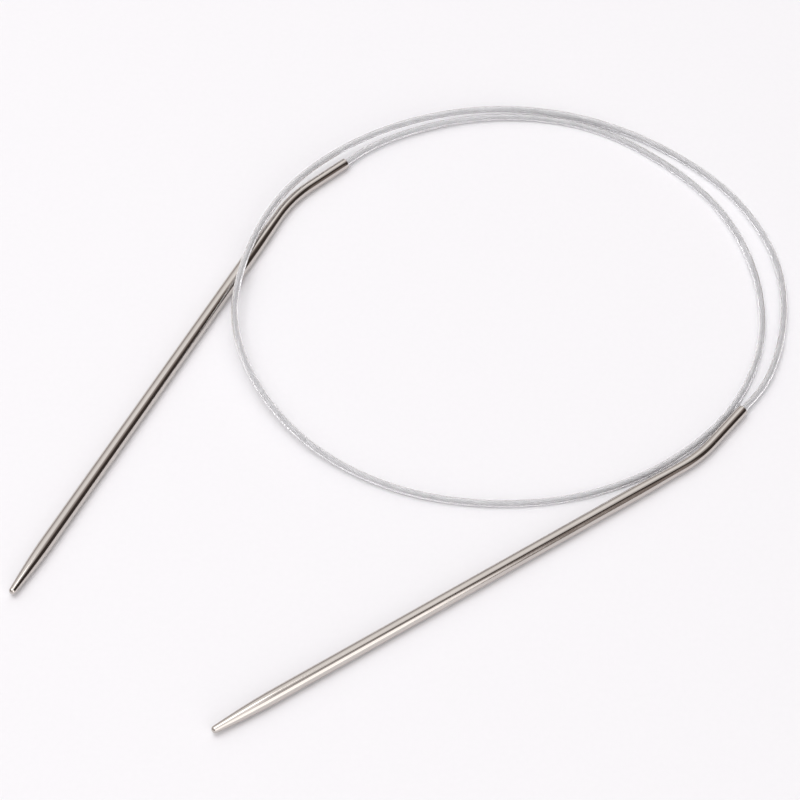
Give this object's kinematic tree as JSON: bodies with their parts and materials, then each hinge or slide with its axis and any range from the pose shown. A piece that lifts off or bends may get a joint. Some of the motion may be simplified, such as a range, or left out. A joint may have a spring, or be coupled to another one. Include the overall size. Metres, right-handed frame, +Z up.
{
  "type": "circular knitting needle",
  "caption": "Circular knitting needle: bent metal needles joined by a long flexible wire cable in a clear jacket, lying in a double loop.",
  "frame": {"origin": "on the plane that the needles lie on, under the middle of the two needles' bounding box", "axes": "+Z up from that plane; +X to the right and +Y away, with the points of both needles towards the -X, -Y side"},
  "size_m": [0.1664, 0.1702, 0.0047],
  "materials": {
    "needle_metal": "polished steel with fine lengthwise draw lines and light handling wear",
    "jacket": "clear nylon, smooth and glossy",
    "rope": "stranded steel wire, grey",
    "bond": "set amber adhesive"
  },
  "bodies": {
    "cable": {"cable_jacket": "jacket", "wire_rope": "rope"},
    "left_needle": {"left_needle": "needle_metal", "left_bond": "bond"},
    "right_needle": {"right_needle": "needle_metal", "right_bond": "bond"}
  },
  "joints": [
    {"name": "left_cable_flex", "type": "hinge", "parent": "cable", "child": "left_needle", "pos_m": [-0.00924, 0.07623, 0.0015], "axis": [0, 0, 1], "range_deg": [-20, 5], "stiffness_Nm_per_rad": 0.01, "deforming": ["cable_jacket", "wire_rope"]},
    {"name": "right_cable_flex", "type": "hinge", "parent": "cable", "child": "right_needle", "pos_m": [0.07707, 0.00451, 0.0015], "axis": [0, 0, 1], "range_deg": [0, 12], "stiffness_Nm_per_rad": 0.01, "deforming": ["cable_jacket", "wire_rope"]}
  ]
}
